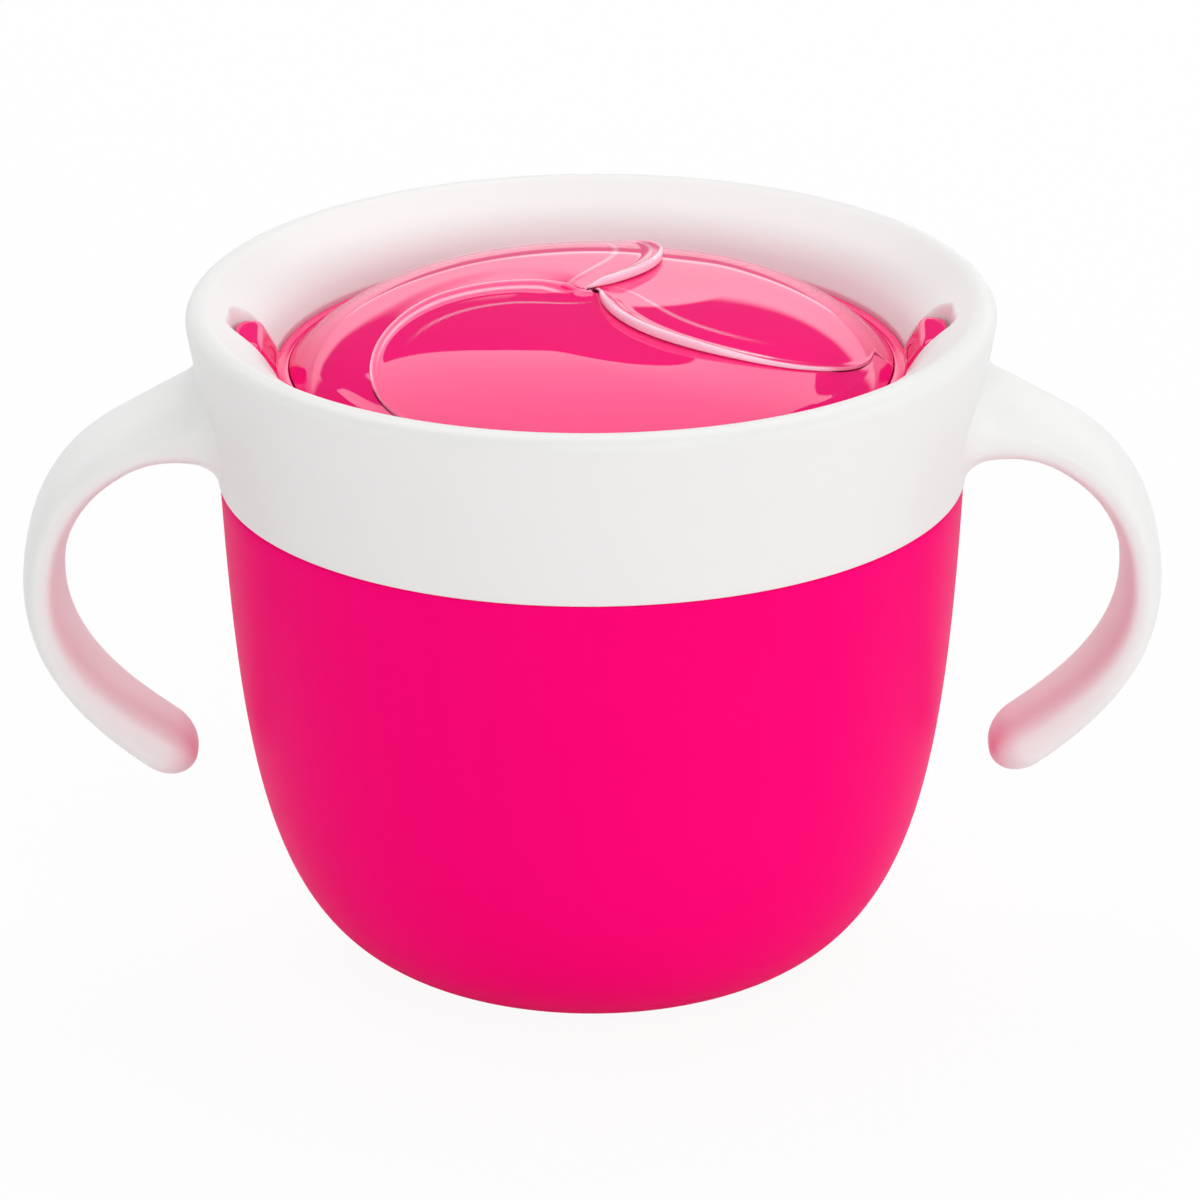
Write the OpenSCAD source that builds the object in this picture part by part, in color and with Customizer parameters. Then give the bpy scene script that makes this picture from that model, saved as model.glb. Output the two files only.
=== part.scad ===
// Toddler snack cup: a round cup, a press-on collar with two handles, and a soft
// dome of three overlapping flaps that a hand pushes through.
// Millimetres, +Z up, origin at the centre of the foot, handles along X, front towards -Y.

/* [Cup] */
// Height of the shoulder that the collar sits on
shoulder_h = 62.4; // [58:0.1:66]
// Outer radius of the cup at its shoulder
body_r = 45.3; // [43:0.1:48]
// Lean of the side at the shoulder, in degrees
side_lean = 3; // [1:0.5:5]
// How far the side runs before it turns under
side_pull = 42; // [36:1:46]
// How far the belly runs out from the foot
belly_pull = 23; // [18:0.5:26]
// Radius of the flat foot
foot_r = 16; // [12:0.5:20]
// Width of the foot's standing ring
foot_ring_w = 3; // [2:0.5:5]
// Depth of the hollow under the foot
foot_hollow = 0.6; // [0.4:0.1:0.9]
// Wall thickness of the cup
cup_wall = 1.8; // [1.4:0.1:2.2]
// Height of the neck above the shoulder
neck_h = 12.8; // [11:0.1:13.2]
// Wall thickness of the neck
neck_wall = 1.5; // [1.3:0.1:1.7]
// Height of the snap bead above the shoulder
bead_up = 6; // [4:0.5:8]

/* [Collar] */
// Height from the shoulder to the middle of the rolled lip
band_h = 20.4; // [19.8:0.1:22]
// How far the middle of the rolled lip stands out past the collar's foot
lip_out = 1.75; // [1.2:0.05:2.6]
// Radius of the lip's roll
lip_roll = 1.87; // [1.6:0.01:2.1]
// How far the collar's foot stands out past the cup
band_proud = 0.15; // [0.05:0.05:0.4]
// Wall thickness of the outer band
band_wall = 1.6; // [1.3:0.1:1.8]
// How far out of the throat the shelf turns down into it
throat_run = 2.5; // [2.2:0.1:3]
// Drop from the middle of the lip to that turn
shelf_drop = 1.8; // [1.5:0.1:2.2]
// Drop from the middle of the lip to the throat's lower edge
throat_drop = 5.75; // [5.4:0.05:6]
// Thickness of the shelf
shelf_t = 1.7; // [1.4:0.1:1.8]
// Wall thickness of the skirt below the throat
skirt_wall = 2.5; // [2.2:0.1:2.8]
// Drop from the throat's edge to the ledge that carries the insert
ledge_drop = 2.85; // [2.6:0.05:3.1]
// Thickness of the ledge
ledge_t = 2; // [1.6:0.1:2.6]
// How far the ledge reaches in from the throat
ledge_w = 1.6; // [1.2:0.1:1.8]

/* [Handles] */
// Furthest reach of a handle's centre line out past the cup's shoulder
handle_out = 21.8; // [19:0.1:25]
// Drop of that furthest point below the middle of the lip
reach_drop = 33.6; // [31:0.1:36]
// Drop of the handle's root below the middle of the lip
root_drop = 12.6; // [12:0.1:13.5]
// Dip of the handle where it leaves the collar, in degrees
root_dip = 10; // [6:1:14]
// How far the handle stays level before it turns down
root_pull = 12.9; // [10:0.1:15]
// How far the handle's back runs straight above its furthest point
upper_pull = 12; // [9:0.1:14]
// How far the handle's back runs straight below its furthest point
lower_pull = 10.5; // [8:0.1:13]
// Distance of the handle's free end out past the cup's shoulder
tip_out = 5.9; // [5:0.1:9]
// Drop of the free end below the middle of the lip
tip_drop = 57.4; // [54:0.1:60]
// Lean of the handle at its free end, in degrees past straight down
tip_lean = 53; // [45:1:60]
// How far the handle runs straight to its free end
tip_pull = 9.4; // [7:0.1:12]
// Thickness of the handle
handle_t = 4.9; // [4.2:0.1:6]
// Thickness of the handle near its free end
tip_t = 7; // [5.5:0.1:8]
// Width of the handle at the collar
handle_w = 19; // [16:0.5:21]
// Width of the handle at its free end
tip_w = 12; // [10:0.5:14]
// Extra thickness and width of the fillet where the handle meets the collar
root_flare = 5; // [3:0.5:6]

/* [Insert] */
// Thickness of the insert's flange
flange_t = 2.4; // [2.3:0.05:2.6]
// Width of the flange round the flaps
flange_w = 1.2; // [1:0.1:1.6]
// Width of the seat inside the flange, under the flaps' roots
seat_w = 2; // [1.4:0.1:2.4]
// How far the seat hangs below the collar's ledge
seat_drop = 1.4; // [1:0.1:2]
// Height of the dome's crown above its root
dome_rise = 9.5; // [8.5:0.1:10]
// Fullness of the dome. A higher figure keeps the crown flatter
dome_power = 3.6; // [3.2:0.1:4]
// Thickness of a flap
flap_t = 1.2; // [0.9:0.1:1.3]
// How near the axis a flap's free edge starts
edge_near = 0.96; // [0.7:0.02:1.2]
// How near the dome's root the free edge's arc comes
edge_far = 2.24; // [2:0.02:3]
// Direction of the centre of that arc, in degrees from +X
edge_az = -3.7; // [-8:0.1:0]
// Width of the lap of one flap under the next
lap_w = 3.5; // [2.5:0.1:4]
// Share of a flap's span over which it tucks down under the flap before it
tuck_run = 0.35; // [0.3:0.05:0.4]
// Height of the bead along a flap's free edge
edge_bead = 0.25; // [0.15:0.05:0.4]

/* [Pull tabs] */
// Width of a pull tab
tab_w = 8; // [7:0.1:8.4]
// Thickness of a pull tab
tab_t = 1.2; // [1:0.1:1.4]
// Distance of a tab's free end out past the throat
tab_out = 4.8; // [4.2:0.1:5]
// Drop from the middle of the lip to the top of a tab
tab_drop = 2.4; // [2.2:0.1:2.6]
// Lean of a tab's stem, in degrees from upright
tab_lean = 21; // [18:1:24]
// Radius of the bend where the stem turns outward
tab_bend = 1.6; // [1.5:0.1:1.8]

/* [Fits] */
// Gap between parts that lift apart
lift_gap = 0.3; // [0.25:0.05:0.35]
// Gap round a pull tab's free end in its pocket
pocket_gap = 0.6; // [0.4:0.05:0.8]
// Gap between the collar's band and the cup's neck
neck_gap = 0.6; // [0.6:0.05:0.8]
// Gap between the cup's neck and the collar's skirt inside it
skirt_gap = 0.85; // [0.6:0.05:1.2]

/* [Hidden] */
$fn = 96;

cup_pink = [0.96, 0.02, 0.44];
collar_white = [0.95, 0.95, 0.95];
insert_pink = [0.99, 0.25, 0.5];

// Heights that several pieces share
lip_z = shoulder_h + band_h;
throat_z = lip_z - throat_drop;
ledge_z = throat_z - ledge_drop;
root_z = ledge_z + flange_t;
seat_z = root_z - flap_t - lift_gap;
tab_z = lip_z - tab_drop;

// Radii that several pieces share
band_foot_r = body_r + band_proud;
neck_r = band_foot_r - band_wall - neck_gap;
neck_in_r = neck_r - neck_wall;
skirt_r = neck_in_r - skirt_gap;
throat_r = skirt_r - skirt_wall;
shelf_r = throat_r + throat_run;
lip_r = band_foot_r + lip_out;
flange_r = throat_r - lift_gap;
rebate_r = flange_r - flange_w;
dome_r = rebate_r - lift_gap;
tab_reach = throat_r + tab_out;
pocket_r = tab_reach + pocket_gap;
tip_round = 2.4;

// Point and direction on a cubic curve at t from 0 to 1
function on_curve(c, t) = c[0] * pow(1 - t, 3) + c[1] * 3 * t * pow(1 - t, 2)
  + c[2] * 3 * t * t * (1 - t) + c[3] * pow(t, 3);
function along_curve(c, t) = let (d = (c[1] - c[0]) * pow(1 - t, 2)
  + (c[2] - c[1]) * 2 * t * (1 - t) + (c[3] - c[2]) * t * t) d / norm(d);
function arc(centre, r, from, to, steps) =
  [for (i = [0:steps]) let (a = from + (to - from) * i / steps) centre + r * [cos(a), sin(a)]];
function ease(x) = let (u = min(max(x, 0), 1)) u * u * (3 - 2 * u);

/* Cup: one thin shell, revolved. The neck stands inside the collar. */

side = [
  [body_r, shoulder_h],
  [body_r - side_pull * sin(side_lean), shoulder_h - side_pull * cos(side_lean)],
  [foot_r + belly_pull, 0],
  [foot_r, 0]
];
side_steps = 36;
side_start = 0.02;
shoulder_round = 0.6;
round_steps = 6;

// The side from the foot up, and the inner face set in from it, which the neck's bore carries on
function side_at(i) = side_start + (1 - side_start) * i / side_steps;
function outer_side() = [for (i = [side_steps:-1:0]) on_curve(side, side_at(i))];
function inner_side() = [for (i = [0:side_steps])
  let (d = along_curve(side, side_at(i)), p = on_curve(side, side_at(i)) + cup_wall * [d[1], -d[0]])
  if (p[0] < neck_in_r) p];

module cup() {
  bead_z = shoulder_h + bead_up;
  bead = lift_gap;
  top = shoulder_h + neck_h;
  round = neck_wall * 0.45;
  color(cup_pink) rotate_extrude() polygon(concat(
    [[0, foot_hollow], [foot_r - foot_ring_w - foot_hollow, foot_hollow], [foot_r - foot_ring_w, 0]],
    outer_side(),
    arc([body_r - shoulder_round, shoulder_h - shoulder_round], shoulder_round, 0, 90, round_steps),
    [[neck_r, shoulder_h], [neck_r, bead_z - 2 * bead], [neck_r + bead, bead_z],
     [neck_r, bead_z + 2 * bead]],
    arc([neck_r - round, top - round], round, 0, 90, round_steps),
    arc([neck_in_r + round, top - round], round, 90, 180, round_steps),
    inner_side(),
    [[0, cup_wall]]
  ));
}

/* Handle collar: rolled lip, outer band, shelf, throat, ledge and two handles, all one moulding. */

// The shelf's line runs from the turn to touch the lip's roll
shelf_run = [lip_r - shelf_r, shelf_drop];
shelf_a = atan2(shelf_run[1], shelf_run[0]) + asin(lip_roll / norm(shelf_run));
throat_a = atan2(throat_drop - shelf_drop, shelf_r - throat_r);
function shelf_z(r) = lip_z - shelf_drop + (r - shelf_r) * tan(shelf_a);
band_lean = atan2(lip_r + lip_roll - band_foot_r, band_h);
function band_out_r(z) = band_foot_r + (z - shoulder_h) * tan(band_lean);
function band_in_r(z) = band_out_r(z) - band_wall;
turn_round = 1.2;
throat_round = 0.4;
foot_round = 0.4;
lip_steps = 15;
// The channel's roof leaves the rolled lip nearly solid
channel_top = lip_z - 0.8 * lip_roll;
// How far a cut runs past the face that it opens
past = 1;

// Centre of a round of radius r that fills the corner between two lines at angles a and b
function turn_centre(corner, a, b, r) =
  corner + r / cos((b - a) / 2) * [sin((a + b) / 2), -cos((a + b) / 2)];

// Everything inside the collar's outer face, down to the ledge
module collar_body() {
  turn = turn_centre([shelf_r, lip_z - shelf_drop], shelf_a, throat_a, turn_round);
  edge = turn_centre([throat_r, throat_z], throat_a, 90, throat_round);
  rotate_extrude() polygon(concat(
    arc([band_foot_r - foot_round, shoulder_h + foot_round], foot_round, -90, 0, 3),
    arc([lip_r, lip_z], lip_roll, -band_lean, 90 + shelf_a, lip_steps),
    arc(turn, turn_round, 90 + shelf_a, 90 + throat_a, 3),
    arc(edge, throat_round, 90 + throat_a, 180, 2),
    [[throat_r, ledge_z], [throat_r - ledge_w, ledge_z], [throat_r - ledge_w, ledge_z - ledge_t],
     [skirt_r, ledge_z - ledge_t], [skirt_r, shoulder_h]]
  ));
}

// The channel that the cup's neck stands in, open below
module neck_channel() {
  low = shoulder_h - past;
  in_r = throat_r - ledge_w - past;
  inner_top = shelf_z(skirt_r) - shelf_t / cos(shelf_a);
  rotate_extrude() polygon([
    [in_r, low], [in_r, ledge_z - ledge_t],
    [skirt_r, ledge_z - ledge_t], [skirt_r, inner_top],
    [skirt_r + (channel_top - inner_top) / tan(shelf_a), channel_top],
    [band_in_r(channel_top), channel_top],
    [band_in_r(shoulder_h), shoulder_h], [band_in_r(shoulder_h), low]
  ]);
}

/* Tab pockets: each pull tab lies in a pocket that is open above. */

// A tab's stem leans out from the flange and bends level. The bend's centre follows from both
stem_set = 0.1;
stem_foot = [throat_r + stem_set, root_z];
bend_z = tab_z - tab_bend;
bend_x = stem_foot[0] + ((bend_z - stem_foot[1]) * sin(tab_lean) + tab_bend) / cos(tab_lean);
// Where the stem's outer face, set out by gap, meets height z
function stem_x(z, gap) = stem_foot[0] + (tab_t + gap) / cos(tab_lean)
  + (z - stem_foot[1]) * tan(tab_lean);
pocket_floor = tab_z - tab_t - lift_gap;
pocket_w = tab_w + lift_gap * 2;
above_lip = lip_z + lip_roll + past;

// A plan shape with a rounded far end, from the throat out to r
module round_ended(r, w, corner, low, high) {
  near = throat_r - ledge_w - 3 * past;
  translate([near, -w / 2, low]) cube([r - corner - near, w, high - low]);
  translate([near, corner - w / 2, low]) cube([r - near, w - 2 * corner, high - low]);
  for (s = [-1, 1]) translate([r - corner, s * (w / 2 - corner), low])
    cylinder(r = corner, h = high - low, $fn = 48);
}

module across(w) { translate([0, w / 2, 0]) rotate([90, 0, 0]) linear_extrude(w) children(); }

// Solid under a pocket, so that its floor is closed
module pocket_pad() {
  pad_w = pocket_w + 2 * shelf_t;
  low = shoulder_h + neck_h + lift_gap;
  intersection() {
    translate([skirt_r - shelf_t, -pad_w / 2, low])
      cube([pocket_r - skirt_r + 2 * shelf_t, pad_w, pocket_floor + past - low]);
    rotate_extrude() polygon([
      [throat_r + past, low - past], [throat_r + past, throat_z], [shelf_r, lip_z - shelf_drop - past],
      [pocket_r + shelf_t, lip_z - shelf_drop], [pocket_r + shelf_t, low - past]
    ]);
  }
}

module tab_pocket() {
  near = throat_r - ledge_w - 2 * past;
  intersection() {
    across(pocket_w + past) polygon([
      [near, ledge_z], [stem_x(ledge_z, lift_gap), ledge_z],
      [stem_x(pocket_floor, lift_gap), pocket_floor], [pocket_r + past, pocket_floor],
      [pocket_r + past, above_lip], [near, above_lip]
    ]);
    round_ended(pocket_r, pocket_w, tip_round + lift_gap, ledge_z, above_lip);
  }
}

// Centre line of a handle: out and over from the collar, then down and back to the free end
handle_start = band_foot_r - band_wall;
handle_root = [band_out_r(lip_z - root_drop), lip_z - root_drop];
handle_back = [body_r + handle_out, lip_z - reach_drop];
handle_tip = [body_r + tip_out, lip_z - tip_drop];
outward = [
  handle_root,
  handle_root + root_pull * [cos(root_dip), -sin(root_dip)],
  handle_back + [0, upper_pull],
  handle_back
];
inward = [
  handle_back,
  handle_back - [0, lower_pull],
  handle_tip + tip_pull * [sin(tip_lean), cos(tip_lean)],
  handle_tip
];
outward_steps = 12;
inward_steps = 10;
end_steps = 4;
handle_sides = 20;
handle_square = 2.7;
flare_ends = 0.16;
flare_curve = 2.2;
tip_starts = 0.55;
taper_starts = 0.3;

// Stations: [point, direction, half thickness, half width]
function grow(a, b, x) = a + (b - a) * ease(x);
function handle_station(s) =
  let (
    c = s < 0.5 ? outward : inward,
    t = s < 0.5 ? s * 2 : s * 2 - 1,
    flare = root_flare * pow(max(0, 1 - s / flare_ends), flare_curve)
  ) [on_curve(c, t), along_curve(c, t),
     (grow(handle_t, tip_t, (s - tip_starts) / (1 - tip_starts)) + flare) / 2,
     (grow(handle_w, tip_w, (s - taper_starts) / (1 - taper_starts)) + flare) / 2];
function ring_points(p, d, t, w) = [for (i = [0:handle_sides - 1])
  let (
    a = 360 * i / handle_sides,
    u = t * sign(cos(a)) * pow(abs(cos(a)), 2 / handle_square),
    v = w * sign(sin(a)) * pow(abs(sin(a)), 2 / handle_square)
  ) [p[0] - d[1] * u, v, p[1] + d[0] * u]];
function handle_rings() = let (
    first = handle_station(0),
    last = handle_station(1),
    total = outward_steps + inward_steps
  ) concat(
    [ring_points([handle_start, first[0][1] + (first[0][0] - handle_start) * tan(root_dip)],
      first[1], first[2], first[3])],
    [for (i = [0:total]) let (q = handle_station(i / total)) ring_points(q[0], q[1], q[2], q[3])],
    [for (i = [1:end_steps - 1])
      let (a = 90 * i / end_steps, q = last)
      ring_points(q[0] + q[1] * q[2] * sin(a), q[1], q[2] * cos(a), q[3] - q[2] * (1 - cos(a)))]
  );
module loft(rings) {
  n = len(rings[0]);
  m = len(rings);
  polyhedron(
    points = [for (r = rings) each r],
    faces = concat(
      [[for (i = [n - 1:-1:0]) i]],
      [for (k = [0:m - 2], i = [0:n - 1]) let (j = (i + 1) % n)
        each [[k * n + i, (k + 1) * n + j, (k + 1) * n + i], [k * n + i, k * n + j, (k + 1) * n + j]]],
      [[for (i = [0:n - 1]) (m - 1) * n + i]]
    )
  );
}

module handle_collar() {
  color(collar_white) difference() {
    union() {
      difference() {
        union() {
          collar_body();
          for (m = [0, 1]) mirror([m, 0, 0]) loft(handle_rings());
        }
        neck_channel();
      }
      for (m = [0, 1]) mirror([m, 0, 0]) pocket_pad();
    }
    for (m = [0, 1]) mirror([m, 0, 0]) tab_pocket();
  }
}

/* Insert ring: the soft frame that drops into the throat, with two pull tabs. */

module pull_tab() {
  inner_bend = tab_bend - tab_t;
  intersection() {
    across(tab_w + past) polygon(concat(
      [[rebate_r + lift_gap, ledge_z], [stem_x(ledge_z, 0), ledge_z]],
      arc([bend_x, bend_z], inner_bend, 180 - tab_lean, 90, 3),
      [[tab_reach + past, tab_z - tab_t], [tab_reach + past, tab_z]],
      arc([bend_x, bend_z], tab_bend, 90, 180 - tab_lean, 6),
      [stem_foot, [rebate_r + lift_gap, root_z]]
    ));
    round_ended(tab_reach, tab_w, tip_round, ledge_z, above_lip);
  }
}

module insert_ring() {
  in_r = rebate_r - seat_w;
  plug_r = throat_r - ledge_w - lift_gap;
  color(insert_pink) union() {
    rotate_extrude() polygon([
      [in_r, ledge_z - seat_drop], [plug_r, ledge_z - seat_drop], [plug_r, ledge_z],
      [flange_r, ledge_z], [flange_r, root_z], [rebate_r, root_z], [rebate_r, seat_z], [in_r, seat_z]
    ]);
    for (m = [0, 1]) mirror([m, 0, 0]) pull_tab();
  }
}

/* Flaps: three petals of one dome. Each free edge is an arc that rides over the next
   petal, and each hidden edge lies under the petal before it. */

flap_turns = [0, 1, -1];
flap_span = 360 / len(flap_turns);
edge_r = (dome_r - edge_far - edge_near) / 2;
edge_out = edge_r + edge_near;
lap_max = 50;
centre_r = 0.5;
flap_rows = 22;
flap_cols = 20;
// The lap closes, and then the tuck, in the last few millimetres before the root
lap_ends_r = dome_r - 4.1;
tuck_ends_r = dome_r - 3.4;
blend = 4;
rows_crowd = 1.35;
cols_crowd = 1.3;
side_gap = lift_gap * 1.2;
tuck_lead = 0.05;
flap_tuck = flap_t + side_gap;
bead_w = 1.3;
bead_starts = 3;

function dome_z(r) = root_z + dome_rise * (1 - pow(r / dome_r, dome_power));
// Direction of the free edge at radius r, until the arc has run out to its furthest point
function edge_dir(r) = let (
    q = min(max(r, edge_out - edge_r), edge_out + edge_r),
    c = (q * q + edge_out * edge_out - edge_r * edge_r) / (2 * q * edge_out)
  ) edge_az - acos(min(1, c));
// How much of the lap there is at radius r
function lap_share(r) = ease((r - 1) / blend) * (1 - ease((r - lap_ends_r) / blend + 1));
function lap_deg(r) = min(lap_max,
  (lap_w * lap_share(r) - side_gap * (1 - lap_share(r))) / r * 180 / PI);
function rim_share(r) = 1 - ease((r - tuck_ends_r) / (dome_r - tuck_ends_r));
function tuck_share(r, w) = rim_share(r)
  * ease((w - flap_span / (flap_span + max(0, lap_deg(r))) + tuck_lead) / tuck_run + 1);
function bead_share(r, in_from_edge) = rim_share(r) * ease((r - 1) / bead_starts)
  * max(0, 1 - pow(in_from_edge / bead_w, 2));
// Rows crowd towards the rim, and columns towards the free edge
function row_r(i) = centre_r + (dome_r - centre_r) * (1 - pow(1 - i / flap_rows, rows_crowd));
function col_w(j) = pow(j / flap_cols, cols_crowd);
function flap_point(i, j, under) = let (
    r = row_r(i),
    w = col_w(j),
    span = flap_span + lap_deg(r),
    a = edge_dir(r) + span * w,
    bead = edge_bead * bead_share(r, r * span * w * PI / 180),
    z = dome_z(r) - flap_tuck * tuck_share(r, w)
  ) [r * cos(a), r * sin(a), under ? z - flap_t : z + bead];

module flap() {
  m = flap_rows + 1;
  n = flap_cols + 1;
  layer = m * n;
  function at(i, j, under) = (under ? layer : 0) + i * n + j;
  color(insert_pink) polyhedron(
    points = [for (under = [false, true], i = [0:flap_rows], j = [0:flap_cols]) flap_point(i, j, under)],
    faces = concat(
      [for (i = [0:flap_rows - 1], j = [0:flap_cols - 1]) each [
        [at(i, j, false), at(i, j + 1, false), at(i + 1, j + 1, false)],
        [at(i, j, false), at(i + 1, j + 1, false), at(i + 1, j, false)],
        [at(i, j, true), at(i + 1, j + 1, true), at(i, j + 1, true)],
        [at(i, j, true), at(i + 1, j, true), at(i + 1, j + 1, true)]]],
      [for (i = [0:flap_rows - 1]) each [
        [at(i, 0, false), at(i + 1, 0, false), at(i + 1, 0, true)],
        [at(i, 0, false), at(i + 1, 0, true), at(i, 0, true)],
        [at(i, flap_cols, false), at(i + 1, flap_cols, true), at(i + 1, flap_cols, false)],
        [at(i, flap_cols, false), at(i, flap_cols, true), at(i + 1, flap_cols, true)]]],
      [for (j = [0:flap_cols - 1]) each [
        [at(0, j, false), at(0, j + 1, true), at(0, j + 1, false)],
        [at(0, j, false), at(0, j, true), at(0, j + 1, true)],
        [at(flap_rows, j, false), at(flap_rows, j + 1, false), at(flap_rows, j + 1, true)],
        [at(flap_rows, j, false), at(flap_rows, j + 1, true), at(flap_rows, j, true)]]]
    )
  );
}

module flap_rear_right() { rotate([0, 0, flap_turns[0] * flap_span]) flap(); }
module flap_rear_left() { rotate([0, 0, flap_turns[1] * flap_span]) flap(); }
module flap_front() { rotate([0, 0, flap_turns[2] * flap_span]) flap(); }

cup();
handle_collar();
insert_ring();
flap_rear_right();
flap_rear_left();
flap_front();
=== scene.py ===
import bpy
import bmesh
import math
from mathutils import Matrix, Vector


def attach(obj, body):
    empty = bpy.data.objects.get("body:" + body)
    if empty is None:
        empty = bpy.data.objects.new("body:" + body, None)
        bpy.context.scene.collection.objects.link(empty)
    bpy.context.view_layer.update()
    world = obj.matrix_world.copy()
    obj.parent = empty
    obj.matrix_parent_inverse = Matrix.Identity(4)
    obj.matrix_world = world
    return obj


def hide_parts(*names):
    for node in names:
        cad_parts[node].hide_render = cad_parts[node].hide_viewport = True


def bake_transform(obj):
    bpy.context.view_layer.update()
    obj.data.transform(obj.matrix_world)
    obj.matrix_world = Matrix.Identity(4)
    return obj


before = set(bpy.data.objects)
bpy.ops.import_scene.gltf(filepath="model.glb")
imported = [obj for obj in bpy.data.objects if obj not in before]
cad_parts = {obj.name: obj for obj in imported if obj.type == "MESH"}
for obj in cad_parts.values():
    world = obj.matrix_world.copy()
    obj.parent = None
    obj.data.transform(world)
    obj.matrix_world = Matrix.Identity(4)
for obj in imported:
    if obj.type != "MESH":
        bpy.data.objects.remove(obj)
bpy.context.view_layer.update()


# The view. A long lens stands in front, 19.5 degrees above the rim, and looks down at the
# cup from VIEW_REACH metres away. All sizes of the object are in millimetres.
LIP_Z = 82.8
VIEW_FALL = math.radians(19.49)
VIEW_ROLL = math.radians(-0.27)
VIEW_REACH = 1.02906
SENSOR = 36
LENS_PX = 8500
IMAGE_PX = 1200
RIM_AT_PX = (592.06, 313.27)

camera = bpy.data.objects.new("camera", bpy.data.cameras.new("camera"))
bpy.context.scene.collection.objects.link(camera)
bpy.context.scene.camera = camera
camera.data.sensor_width = SENSOR
camera.data.lens = SENSOR * LENS_PX / IMAGE_PX
camera.data.clip_start = 0.1
camera.data.clip_end = 20
camera.location = (0, -VIEW_REACH * math.cos(VIEW_FALL), LIP_Z / 1000 + VIEW_REACH * math.sin(VIEW_FALL))
aim_down = math.atan((IMAGE_PX / 2 - RIM_AT_PX[1]) / LENS_PX)
aim_side = math.atan((IMAGE_PX / 2 - RIM_AT_PX[0]) / LENS_PX)
camera.rotation_euler = (
    Matrix.Rotation(-aim_side, 4, "Z")
    @ Matrix.Rotation(math.pi / 2 - VIEW_FALL - aim_down, 4, "X")
    @ Matrix.Rotation(VIEW_ROLL, 4, "Z")
).to_euler()


# The cup. One injection-moulded shell of polypropylene with a straight neck that the
# collar presses onto, a full belly and a small flat foot with a shallow hollow in it.
SHOULDER_R, SHOULDER_Z = 45.3, 62.4
FOOT_R, HOLLOW_R, HOLLOW_TOP_R, HOLLOW_RISE = 16.0, 13.2, 12.4, 0.6
CUP_SIDE = [(SHOULDER_R, SHOULDER_Z), (43.102, 20.458), (39.0, 0.0), (FOOT_R, 0.0)]
CUP_WALL = 1.8
NECK_R, NECK_BORE, NECK_TOP, NECK_BLEND = 43.25, 41.75, 75.2, 6
SNAP_Z, SNAP_RISE = 68.4, 0.3
BELLY_BORE = NECK_BORE - 0.2
SIDE_FROM, SIDE_STEPS, CUP_STEP = 0.02, 90, 2.5
MERGE_METRES = 2e-6
SHARP_FROM = math.radians(50)


def on_curve(c, t):
    """Point at t, from 0 to 1, on the cubic curve of four (x, z) control points."""
    shares = ((1 - t) ** 3, 3 * t * (1 - t) ** 2, 3 * t * t * (1 - t), t**3)
    return Vector([sum(k * p[axis] for k, p in zip(shares, c)) for axis in (0, 1)])


def along_curve(c, t, nudge=1e-3):
    """Direction of a cubic curve at t."""
    return (on_curve(c, min(1, t + nudge)) - on_curve(c, max(0, t - nudge))).normalized()


def rounded(corners, step=0.4):
    """An outline through (x, z, radius) corners, each one rounded to its radius."""
    out = []
    for k, (x, z, radius) in enumerate(corners):
        here = Vector((x, z))
        if radius <= 0 or k in (0, len(corners) - 1):
            out.append(here)
            continue
        back = (Vector(corners[k - 1][:2]) - here).normalized()
        ahead = (Vector(corners[k + 1][:2]) - here).normalized()
        half = back.angle(ahead) / 2
        centre = here + (back + ahead).normalized() * radius / math.sin(half)
        start = here + back * radius / math.tan(half) - centre
        end = here + ahead * radius / math.tan(half) - centre
        turn = math.pi - 2 * half
        steps = max(3, int(radius * turn / step) + 1)
        for i in range(steps + 1):
            f = i / steps
            spoke = (start * math.sin((1 - f) * turn) + end * math.sin(f * turn)) / math.sin(turn)
            out.append(centre + spoke)
    return out


def spaced(points, step):
    """The same line with no stretch longer than step."""
    out = [points[0]]
    for p, q in zip(points, points[1:]):
        n = max(1, math.ceil((q - p).length / step))
        out += [p.lerp(q, i / n) for i in range(1, n + 1)]
    return out


def turned(line, start=0, sweeps=((90, 64),)):
    """Spins an (r, z) line by sweeps of (degrees, steps), then copies that on round the axis."""
    bm = bmesh.new()
    a = math.radians(start)
    ring = []
    for r, z in line:
        ring.append(bm.verts.new((r * math.cos(a) / 1000, r * math.sin(a) / 1000, z / 1000)))
    last = ring + [bm.edges.new(pair) for pair in zip(ring, ring[1:])]
    for degrees, steps in sweeps:
        spun = bmesh.ops.spin(bm, geom=last, cent=(0, 0, 0), axis=(0, 0, 1), dvec=(0, 0, 0),
                              angle=math.radians(degrees), steps=steps, use_merge=False)
        last = spun["geom_last"]
    done = sum(degrees for degrees, steps in sweeps)
    while done < 360:
        copy = bmesh.ops.duplicate(bm, geom=bm.verts[:] + bm.edges[:] + bm.faces[:])["geom"]
        bmesh.ops.rotate(bm, cent=(0, 0, 0), matrix=Matrix.Rotation(math.radians(done), 3, "Z"),
                         verts=[g for g in copy if isinstance(g, bmesh.types.BMVert)])
        done *= 2
    return bm


def finished(bm, name):
    """Merges seams and poles, turns the faces outwards and puts the mesh in the scene."""
    bmesh.ops.remove_doubles(bm, verts=bm.verts, dist=MERGE_METRES)
    bmesh.ops.dissolve_degenerate(bm, edges=bm.edges, dist=MERGE_METRES)
    bmesh.ops.recalc_face_normals(bm, faces=bm.faces)
    mesh = bpy.data.meshes.new(name)
    bm.to_mesh(mesh)
    bm.free()
    mesh.shade_smooth()
    mesh.set_sharp_from_angle(angle=SHARP_FROM)
    piece = bpy.data.objects.new(name, mesh)
    bpy.context.scene.collection.objects.link(piece)
    return piece


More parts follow.
